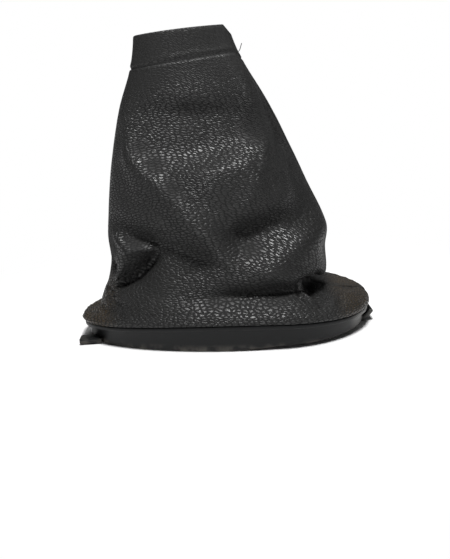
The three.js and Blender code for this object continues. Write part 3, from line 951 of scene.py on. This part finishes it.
def frame_ring():
    bm = bmesh.new()
    angles = bm.verts.layers.float.new("angle")
    ring = bmesh.ops.create_circle(bm, segments=STATIONS, radius=1)["verts"]
    for v in ring:
        v[angles] = math.atan2(v.co.y, v.co.x)
    first = edges = list(bm.edges)
    for k, (inset, datum, height) in enumerate(SECTION):
        if k:
            grown = bmesh.ops.extrude_edge_only(bm, edges=edges)["geom"]
            ring = verts_of(grown)
            found = [g for g in grown if isinstance(g, bmesh.types.BMEdge)]
            edges = [e for e in found if set(e.verts) <= set(ring)]
        place_ring(ring, angles, inset, datum, height)
    bmesh.ops.bridge_loops(bm, edges=first + edges)
    bmesh.ops.recalc_face_normals(bm, faces=bm.faces)
    return bm


frame_bm = frame_ring()
print("ring faces:", len(frame_bm.faces))

# %% [markdown]
# ## Shelves, tongues and ribs
#
# Inside the nose two flat shelves stiffen the frame, and two tongues reach out from under it to
# hook behind the console's edge. Three thin ribs lie under one of the shelves, and four short
# ones stand at the heel. Each is a flat outline raised to its thickness, with its edges broken by
# a small bevel as a mould would leave them.

# %% Plates
SHELF_REACH = 54
SHELF_GAP = 24
SHELF_LIFT = 2.6
SHELF_THICKNESS = 2
RIB_WIDTH, RIB_SPACING = 0.8, 2.6
TONGUE_TIP = -HALF_LENGTH - 1.3
TONGUE_SPREAD = 16.5  # from the middle line
TONGUE_HALF = 4.5
STRUT_THICKNESS = 1.8
SHARP_ANGLE = 0.6


def raised(bm, corners, way):
    """Makes a face from its corners and extrudes it, all in mm. Returns its points."""
    verts = [bm.verts.new(Vector(c) * MM) for c in corners]
    face = bm.faces.new(verts)
    top = verts_of(bmesh.ops.extrude_face_region(bm, geom=[face])["geom"])
    bmesh.ops.translate(bm, verts=top, vec=Vector(way) * MM)
    return verts + top


def break_edges(bm, edges, size):
    """Bevels edges by a size in mm."""
    bmesh.ops.bevel(
        bm, geom=edges, offset=size * MM, segments=2, profile=0.5, affect="EDGES", material=-1,
        offset_type="OFFSET", clamp_overlap=True,
    )


def plate(bm, corners, low, high, edge=0.25):
    """Raises a flat outline, given in mm, from one height to another, and bevels its edges."""
    corners = [(float(x) + ORIGIN_SHIFT, float(y), low) for x, y in corners]
    verts = raised(bm, corners, (0, 0, high - low))
    edges = {e for v in verts for e in v.link_edges}
    faces = {f for e in edges for f in e.link_faces}
    bmesh.ops.recalc_face_normals(bm, faces=list(faces))
    sharp = [e for e in edges if len(e.link_faces) == 2 and e.calc_face_angle(0) > SHARP_ANGLE]
    break_edges(bm, sharp, edge)


def shelf_corners(sign):
    end = SHELF_REACH - HALF_LENGTH
    throat = -HALF_LENGTH + SHELF_REACH * 0.4
    first = math.acos((end - WIDEST_X) / NOSE_LENGTH)
    last = math.pi - math.asin((SHELF_GAP / 2 + 0.6) / HALF_WIDTH)
    rim = [outline(a, 4.2) for a in np.linspace(first, last, 16)]
    edge = outline(first)[1] - SKIRT_INSIDE
    inner = [
        (throat - 1.5, SHELF_GAP / 2),
        (throat, SHELF_GAP / 2 + 1.5),
        (throat + 2, SHELF_GAP - 1),
        (throat + 5, SHELF_GAP + 2),
        (end - 1, edge - 2.5),
    ]
    return [(x, sign * y) for x, y in rim + inner]


for sign in (-1, 1):
    plate(frame_bm, shelf_corners(sign), SHELF_LIFT, SHELF_LIFT + SHELF_THICKNESS)

for n in range(1, 4):
    inset = SKIRT_INSIDE + RIB_SPACING * n
    outer = [outline(a, inset) for a in np.linspace(2.25, 2.62, 10)]
    inner = [outline(a, inset + RIB_WIDTH) for a in np.linspace(2.62, 2.25, 10)]
    plate(frame_bm, outer + inner, 1.9, 3.0, 0.15)

root = float(outline(math.pi - math.asin(TONGUE_SPREAD / HALF_WIDTH))[0]) + SKIRT_INSIDE
rounding = [
    (TONGUE_TIP + 1.2, TONGUE_HALF),
    (TONGUE_TIP + 0.3, TONGUE_HALF - 0.4),
    (TONGUE_TIP, TONGUE_HALF - 1.2),
]
tongue = [(root, -TONGUE_HALF), (root, TONGUE_HALF), *rounding]
tongue += [(x, -y) for x, y in reversed(rounding)]
for sign in (-1, 1):
    corners = [(x, sign * TONGUE_SPREAD + y) for x, y in tongue]
    plate(frame_bm, corners, 0.8, 3.2, 0.3)

for sign in (-1, 1):
    for spread, width in ((27, 7), (42, 4)):
        angle = sign * math.radians(spread)
        x, y = outline(angle, 5.8)
        out = Vector((math.cos(angle) / HEEL_LENGTH, math.sin(angle) / HALF_WIDTH)).normalized()
        side_way = Vector((-out.y, out.x))
        corners = [
            Vector((float(x), float(y))) + out * a * STRUT_THICKNESS / 2 + side_way * b * width / 2
            for a, b in ((-1, -1), (1, -1), (1, 1), (-1, 1))
        ]
        plate(frame_bm, corners, 2.2, float(flange_top(x)) - 1.2)
print("frame faces so far:", len(frame_bm.faces))

# %% [markdown]
# ## The snap clip
#
# At the heel a sprung plate turns up and out from the skirt's foot. Its profile is drawn from
# the side and raised across its width; a small round dimple and a slot are pressed into its
# outer face, left by the mould's core pins.

# %% Clip
CLIP_CENTRE_Y = -3
CLIP_WIDTH = 17
foot, tip = HALF_LENGTH - SKIRT_INSIDE, HALF_LENGTH + 2
profile = [
    (foot - 0.6, 0.0),
    (foot + 1.8, 0.0),
    (tip, 5.1),
    (tip, 6.4),
    (tip - 2.1, 6.6),
    (foot + 1.5, 2.6),
    (foot - 0.6, 2.6),
]
clip_low = CLIP_CENTRE_Y - CLIP_WIDTH / 2
clip_bm = bmesh.new()
raised(clip_bm, [(x + ORIGIN_SHIFT, clip_low, z) for x, z in profile], (0, CLIP_WIDTH, 0))
bmesh.ops.recalc_face_normals(clip_bm, faces=clip_bm.faces)
break_edges(clip_bm, list(clip_bm.edges), 0.45)
clip = piece_from("clip", clip_bm, smooth=False)


def press_pit(piece, centre, slope, wide, long):
    """Cuts a shallow round or long pit into a slanted face of a piece."""
    pit = bmesh.new()
    bmesh.ops.create_cone(
        pit, cap_ends=True, segments=20, radius1=0.8 * MM, radius2=MM, depth=1.6 * MM
    )
    bmesh.ops.scale(pit, vec=(long, wide, 1), verts=pit.verts)
    turn = Matrix.Translation(Vector(centre) * MM) @ Matrix.Rotation(math.pi - slope, 4, "Y")
    bmesh.ops.transform(pit, matrix=turn, verts=pit.verts)
    pit_piece = piece_from("pit", pit, smooth=False)
    cut = piece.modifiers.new("pit", "BOOLEAN")
    cut.object, cut.operation, cut.solver = pit_piece, "DIFFERENCE", "EXACT"
    result = bpy.data.meshes.new_from_object(evaluated(piece))
    piece.modifiers.clear()
    piece.data = result
    bpy.data.objects.remove(pit_piece)


CLIP_SLOPE = math.atan2(5.1, tip - foot - 1.8)
clip_middle = ((foot + 1.8 + tip) / 2 + ORIGIN_SHIFT, 2.55)
for along_y, wide, long in ((0.0, 1.0, 1.0), (6.0, 0.6, 1.0)):
    centre = (clip_middle[0], CLIP_CENTRE_Y + along_y, clip_middle[1])
    press_pit(clip, centre, CLIP_SLOPE, wide, long)
print("clip faces:", len(clip.data.polygons))
frame_bm.from_mesh(clip.data)
bpy.data.objects.remove(clip)

moulded_frame = piece_from("moulded_frame", frame_bm)
moulded_frame.data.set_sharp_from_angle(angle=math.radians(38))
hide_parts("base_frame")
print("frame faces:", len(moulded_frame.data.polygons))

# %% [markdown]
# ## Writing nodes in few words
#
# Every finish is a tree of nodes. A few short functions add a node, wire it up and hand back the
# socket that the next node needs, so that a finish can be read from top to bottom.


# %% Node helpers
def fill(tree, node, inputs):
    """Wires or sets a node's inputs."""
    for key, value in inputs.items():
        if isinstance(value, bpy.types.NodeSocket):
            tree.links.new(value, node.inputs[key])
        else:
            node.inputs[key].default_value = value


def add(tree, kind, inputs=None, **settings):
    """Adds a shader node with its properties and inputs."""
    node = tree.nodes.new("ShaderNode" + kind)
    for key, value in settings.items():
        setattr(node, key, value)
    fill(tree, node, inputs or {})
    return node


def combine(tree, operation, first, second=0.0):
    """One number from one or two."""
    return add(tree, "Math", {0: first, 1: second}, operation=operation).outputs[0]


def vector_math(tree, operation, vector, other):
    """One vector from a vector and another vector, or a scale."""
    inputs = {0: vector, "Scale" if operation == "SCALE" else 1: other}
    return add(tree, "VectorMath", inputs, operation=operation).outputs[0]


def remap(tree, value, low, high, to_low=0.0, to_high=1.0, curve="SMOOTHSTEP"):
    """Spreads the range from low to high over another one."""
    return add(
        tree,
        "MapRange",
        {"Value": value, "From Min": low, "From Max": high, "To Min": to_low, "To Max": to_high},
        interpolation_type=curve,
    ).outputs[0]


def blend(tree, factor, first, second):
    """A colour between two, each a socket or its red, green and blue."""
    ends = [c if isinstance(c, bpy.types.NodeSocket) else (*c, 1) for c in (first, second)]
    inputs = {"Factor": factor, 6: ends[0], 7: ends[1]}
    return add(tree, "Mix", inputs, data_type="RGBA").outputs[2]


def noise_node(tree, where, scale, detail=3.0):
    inputs = {"Vector": where, "Scale": scale, "Detail": detail}
    return add(tree, "TexNoise", inputs)


def cell_node(tree, where, feature, scale=1.0, **inputs):
    """A flat pattern of cells."""
    inputs = {"Vector": where, "Scale": scale, **inputs}
    return add(tree, "TexVoronoi", inputs, feature=feature, voronoi_dimensions="2D")


def new_group(name, numbers, outputs):
    """A node group that takes a vector and numbers with their values, and puts out numbers."""
    group = bpy.data.node_groups.new(name, "ShaderNodeTree")
    sockets = group.interface
    sockets.new_socket("Vector", in_out="INPUT", socket_type="NodeSocketVector")
    for key, value in numbers.items():
        made = sockets.new_socket(key, in_out="INPUT", socket_type="NodeSocketFloat")
        made.default_value = value
    for key in outputs:
        sockets.new_socket(key, in_out="OUTPUT", socket_type="NodeSocketFloat")
    given = group.nodes.new("NodeGroupInput").outputs
    return group, given, group.nodes.new("NodeGroupOutput")


print("helpers:", add.__name__, combine.__name__, remap.__name__, blend.__name__)

# %% [markdown]
# ## Shared effects
#
# Two effects are used by more than one finish, so each is a node group, built once. The first is
# the embossed grain of synthetic leather: soft pebbles with creases between them. The second is
# fine speckle, used for the plastic's moulded texture and for the cloth's fluff.


# %% Grain and speckle
def pebbled_grain():
    group, given, out = new_group(
        "pebbled_grain", {"Pebble": 0.0022, "Wander": 0.35}, ["Height", "Crease"]
    )
    per = combine(group, "DIVIDE", 1.0, given["Pebble"])
    cells = vector_math(group, "SCALE", given["Vector"], per)
    drift = noise_node(group, cells, 0.55).outputs["Color"]
    centred = vector_math(group, "SUBTRACT", drift, (0.5, 0.5, 0.5))
    moved = vector_math(group, "SCALE", centred, given["Wander"])
    bent = vector_math(group, "ADD", cells, moved)
    edges = cell_node(group, bent, "DISTANCE_TO_EDGE", Randomness=0.85).outputs["Distance"]
    domes = cell_node(group, bent, "SMOOTH_F1", Randomness=0.85, Smoothness=0.4)
    small = cell_node(group, bent, "DISTANCE_TO_EDGE", 2.7, Randomness=1.0)
    plateau = remap(group, edges, 0.0, 0.31)
    crown = remap(group, domes.outputs["Distance"], 0.8, 0.05, 0.0, 0.36)
    fine = remap(group, small.outputs["Distance"], 0.0, 0.25, 0.0, 0.1)
    lump = combine(group, "ADD", plateau, crown)
    height = combine(group, "ADD", lump, fine)
    # where the creases lie; the leather uses it to paint shade into them
    crease = remap(group, edges, 0.25, 0.04, curve="LINEAR")
    fill(group, out, {"Height": height, "Crease": crease})
    return group


def speckle():
    group, given, out = new_group(
        "speckle", {"Size": 0.0006, "Clumping": 0.5}, ["Height", "Patches"]
    )
    per = combine(group, "DIVIDE", 1.0, given["Size"])
    fine = noise_node(group, given["Vector"], per, 4.0).outputs["Fac"]
    wide = combine(group, "MULTIPLY", per, 0.07)
    patches = noise_node(group, given["Vector"], wide).outputs["Fac"]
    mixed = add(group, "Mix", {"Factor": given["Clumping"], 2: fine, 3: patches})
    fill(group, out, {"Height": mixed.outputs[0], "Patches": patches})
    return group


GRAIN = pebbled_grain()
SPECKLE = speckle()
print("groups:", GRAIN.name, SPECKLE.name)

# %% [markdown]
# ## Leather
#
# The leather is black and slightly glossy on its pebbles, and duller in the creases between them,
# where shade is painted into the colour. Near the seams and at a list of spots it is rougher and
# painted darker as shade, and so are the stitched grooves. At the frame's two ends it has gone a
# little brown. The grain reads the panel's own flat coordinates, so it follows the cloth round
# every fold.


# %% Leather finish
GRAIN_STRETCH = (0.6, 1.3, 1.0)  # pebbles are wider than high


def new_material(name):
    material = bpy.data.materials.new(name)
    material.use_nodes = True
    tree = material.node_tree
    return material, tree, tree.nodes["Principled BSDF"]


def bumped(tree, height, strength, distance):
    inputs = {"Height": height, "Strength": strength, "Distance": distance}
    return add(tree, "Bump", inputs).outputs[0]


def wire_finish(tree, shader, colour, rough, normal, specular):
    """Wires a finish's colour, roughness and relief, and sets how strongly it mirrors."""
    fill(tree, shader, {"Base Color": colour, "Roughness": rough, "Normal": normal})
    shader.inputs["Specular IOR Level"].default_value = specular


def leather_material(name, pebble, depth):
    material, tree, shader = new_material(name)
    where = add(tree, "TexCoord").outputs
    dull_and_shaded, pressed_and_shaded, smooth = (
        add(tree, "Attribute", attribute_name=key).outputs["Fac"]
        for key in ("dull_and_shaded", "pressed_and_shaded", "smooth")
    )
    flat = add(tree, "Mapping", {"Vector": where["UV"], "Scale": GRAIN_STRETCH})
    chosen = {"Vector": flat.outputs[0], "Pebble": pebble, "Wander": 0.7}
    grain = add(tree, "Group", chosen, node_tree=GRAIN).outputs
    place = add(tree, "SeparateXYZ", {"Vector": where["Object"]}).outputs
    patchy = remap(tree, noise_node(tree, where["Object"], 28.0).outputs["Fac"], 0.35, 0.62)
    low = remap(tree, place["Z"], 0.05, 0.012)
    at_end = remap(tree, combine(tree, "ABSOLUTE", place["X"]), 0.056, 0.07)
    worn = combine(tree, "MULTIPLY", low, at_end)
    brown = combine(tree, "MULTIPLY", worn, patchy)
    painted_shade = combine(tree, "MULTIPLY", dull_and_shaded, 0.6)

    colour = blend(tree, patchy, (0.011, 0.011, 0.0106), (0.0165, 0.0165, 0.016))
    # painted shade: the colour goes darker where the dull leather mark is high
    colour = blend(tree, painted_shade, colour, (0.004, 0.004, 0.0038))
    colour = blend(tree, brown, colour, (0.034, 0.023, 0.011))
    # painted shade in the grain's creases
    colour = blend(tree, grain["Crease"], colour, (0.0015, 0.0015, 0.0015))
    # painted shade in the hem's groove, the stitch rows and the seam rolls
    colour = blend(tree, pressed_and_shaded, colour, (0.004, 0.004, 0.004))

    gloss = remap(tree, grain["Height"], 0.4, 1.15, 0.8, 0.36, "LINEAR")
    dulled = combine(tree, "MAXIMUM", pressed_and_shaded, dull_and_shaded)
    rough = combine(tree, "MAXIMUM", gloss, combine(tree, "MULTIPLY", dulled, 0.82))
    flattened = combine(tree, "MAXIMUM", pressed_and_shaded, smooth)
    relief = remap(tree, flattened, 0.0, 1.0, 1.0, 0.25, "LINEAR")
    lifted = combine(tree, "MULTIPLY", grain["Height"], relief)
    normal = bumped(tree, lifted, 0.9, depth)
    wire_finish(tree, shader, colour, rough, normal, 0.45)
    return material


LEATHER = leather_material("black_grained_leather", 0.00185, 0.00025)
ALLOWANCE_LEATHER = leather_material("allowance_leather", 0.0014, 0.00016)
print("leathers:", LEATHER.name, ALLOWANCE_LEATHER.name)

# %% [markdown]
# ## Backing, thread and plastic
#
# The leather's back is a fluffy black cloth: rough, with a sheen at grazing angles. The thread is
# plain black. The frame is matte moulded plastic; its foot has been dragged over other parts, so
# there it is scuffed paler, with a few long scratches along it, and one end is chalky.


# %% Other finishes
def speckled(tree, size, clumping):
    """The piece's own place, and the speckle there."""
    where = add(tree, "TexCoord").outputs["Object"]
    inputs = {"Vector": where, "Size": size, "Clumping": clumping}
    return where, add(tree, "Group", inputs, node_tree=SPECKLE).outputs


def backing_material():
    material, tree, shader = new_material("fluffy_backing")
    _, fluff = speckled(tree, 0.0007, 0.35)
    colour = blend(tree, fluff["Height"], (0.004, 0.004, 0.0045), (0.03, 0.03, 0.031))
    normal = bumped(tree, fluff["Height"], 1.0, 0.0006)
    wire_finish(tree, shader, colour, 0.95, normal, 0.2)
    shader.inputs["Sheen Weight"].default_value = 0.25
    shader.inputs["Sheen Roughness"].default_value = 0.5
    return material


def thread_material():
    material, tree, shader = new_material("black_thread")
    _, fibre = speckled(tree, 0.0002, 0.1)
    colour = blend(tree, fibre["Height"], (0.004, 0.004, 0.004), (0.016, 0.016, 0.016))
    fill(tree, shader, {"Base Color": colour, "Roughness": 0.7})
    return material


def plastic_material():
    material, tree, shader = new_material("moulded_black_plastic")
    where, texture = speckled(tree, 0.0005, 0.3)
    place = add(tree, "SeparateXYZ", {"Vector": where}).outputs
    foot = remap(tree, place["Z"], 0.0045, 0.0005)
    long_way = add(tree, "Mapping", {"Vector": where, "Scale": (60.0, 60.0, 1400.0)})
    drag = noise_node(tree, long_way.outputs[0], 1.0).outputs["Fac"]
    scratch = remap(tree, drag, 0.64, 0.72, curve="LINEAR")
    patches = remap(tree, texture["Patches"], 0.42, 0.6)
    rubbed = combine(tree, "MULTIPLY", foot, patches)
    scuffed = combine(tree, "MULTIPLY", scratch, foot)
    wear = combine(tree, "MAXIMUM", rubbed, scuffed)
    at_heel = remap(tree, place["X"], 0.066, 0.074)
    on_near_side = remap(tree, place["Y"], -0.009, -0.014)
    chalk = combine(tree, "MULTIPLY", at_heel, on_near_side)

    colour = blend(tree, texture["Height"], (0.004, 0.0043, 0.0046), (0.009, 0.0094, 0.0098))
    colour = blend(tree, wear, colour, (0.075, 0.07, 0.062))
    colour = blend(tree, chalk, colour, (0.12, 0.118, 0.112))
    rough = remap(tree, wear, 0.0, 1.0, 0.42, 0.75, "LINEAR")
    normal = bumped(tree, texture["Height"], 0.35, 0.0002)
    wire_finish(tree, shader, colour, rough, normal, 0.22)
    return material


PLASTIC = plastic_material()
BACKING = backing_material()
BLACK_THREAD = thread_material()
panels = [near_leather, far_leather]
threads = [hem_thread, *heel_threads, nose_thread, thread_end]
for pieces, material in (
    (panels, LEATHER),
    (panels, BACKING),
    (allowances, ALLOWANCE_LEATHER),
    (threads, BLACK_THREAD),
    ([moulded_frame], PLASTIC),
):
    for piece in pieces:
        piece.data.materials.append(material)
print("finishes:", BACKING.name, BLACK_THREAD.name, PLASTIC.name)

# %% [markdown]
# ## Tying the pieces to the model
#
# The row has no joints, so every piece rides on its one body. Each panel is a piece of leather
# cut flat, turned over at the top and gathered onto the frame. Its cut is wedge shaped.

# %% Rides
for piece in panels + allowances:
    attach(piece, "root")
for piece in threads:
    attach(piece, "root")
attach(moulded_frame, "root")


# %% [markdown]
# ## Studio
#
# Black leather shows its form by what it mirrors. A soft lamp high above the near side draws the
# folds, and a weak wide one behind them rounds the far side. A low white wall, brightest towards
# the nose, is met only by mirrored rays and lifts the sides that face it. A lamp under the floor
# lights the inside for views from below, and the floor lets its light through only where the
# object stands.


# %% Floor and lights
def background_rays(tree, wall=1.0):
    """1 for the rays that see the white background: straight, mirrored or through glass."""
    ray = add(tree, "LightPath").outputs
    turned = combine(tree, "MAXIMUM", ray["Is Glossy Ray"], ray["Is Transmission Ray"])
    on_wall = combine(tree, "MULTIPLY", turned, wall)
    return combine(tree, "MAXIMUM", ray["Is Camera Ray"], on_wall)


def length_of(tree, vector):
    return add(tree, "VectorMath", {0: vector}, operation="LENGTH").outputs["Value"]


def backdrop_material():
    """White round the object and in mirrors, with the shadow left on it near the object."""
    material, tree, shader = new_material("white_studio")
    where = add(tree, "TexCoord").outputs["Object"]
    away = remap(tree, length_of(tree, where), 0.1, 0.24)
    glow = add(tree, "Emission", {"Color": (1, 1, 1, 1), "Strength": 1.0})
    seen = combine(tree, "MULTIPLY", away, background_rays(tree))
    inputs = {0: seen, 1: shader.outputs[0], 2: glow.outputs[0]}
    mixed = add(tree, "MixShader", inputs)

    squeezed = vector_math(tree, "MULTIPLY", where, (0.6, 1.0, 1.0))
    footprint = combine(tree, "LESS_THAN", length_of(tree, squeezed), 0.044)
    shadow_ray = add(tree, "LightPath").outputs["Is Shadow Ray"]
    lamp_way = combine(tree, "MULTIPLY", footprint, shadow_ray)
    from_below = add(tree, "NewGeometry").outputs["Backfacing"]
    open_way = combine(tree, "MAXIMUM", lamp_way, from_below)
    clear = add(tree, "BsdfTransparent")
    inputs = {0: open_way, 1: mixed.outputs[0], 2: clear.outputs[0]}
    one_way = add(tree, "MixShader", inputs)
    tree.links.new(one_way.outputs[0], tree.nodes["Material Output"].inputs[0])
    shader.inputs["Base Color"].default_value = (0.85, 0.85, 0.85, 1)
    shader.inputs["Roughness"].default_value = 0.9
    shader.inputs["Specular IOR Level"].default_value = 0.0
    return material


floor_bm = bmesh.new()
bmesh.ops.create_grid(floor_bm, x_segments=2, y_segments=2, size=3)
bmesh.ops.translate(floor_bm, verts=floor_bm.verts, vec=(0, 0, -0.05 * MM))
floor = piece_from("floor", floor_bm, smooth=False)
floor.data.materials.append(backdrop_material())


def soft_light(name, place, aim, size, power):
    data = bpy.data.lights.new(name, "AREA")
    data.shape = "RECTANGLE"
    data.size, data.size_y = size
    data.energy = power
    lamp = new_object(name, data)
    lamp.location = place
    lamp.rotation_mode = "QUATERNION"
    lamp.rotation_quaternion = (Vector(aim) - Vector(place)).to_track_quat("-Z", "Y")


soft_light("key", (0.04, -0.29, 0.9), (0, 0, 0.08), (0.2, 0.2), 11)
soft_light("overhead", (0.0, 0.5, 0.8), (0, 0, 0.05), (0.6, 0.5), 2.5)
soft_light("underneath", (0.0, -0.05, -0.7), (0, 0, 0.08), (0.5, 0.4), 7)

world = bpy.data.worlds.new("studio")
bpy.context.scene.world = world
world.use_nodes = True
world_tree = world.node_tree
direction = add(world_tree, "TexCoord").outputs["Generated"]
compass = add(world_tree, "SeparateXYZ", {"Vector": direction}).outputs
low_wall = remap(world_tree, compass["Z"], 0.12, 0.0)
nose_side = remap(world_tree, compass["X"], 0.5, -0.1, 0.1)
wall = combine(world_tree, "MULTIPLY", low_wall, nose_side)
level = remap(world_tree, background_rays(world_tree, wall), 0.0, 1.0, 0.06, 1.0, "LINEAR")
background = world_tree.nodes["Background"]
fill(world_tree, background, {"Color": (1, 1, 1, 1), "Strength": level})
bpy.context.scene.view_settings.view_transform = "Standard"
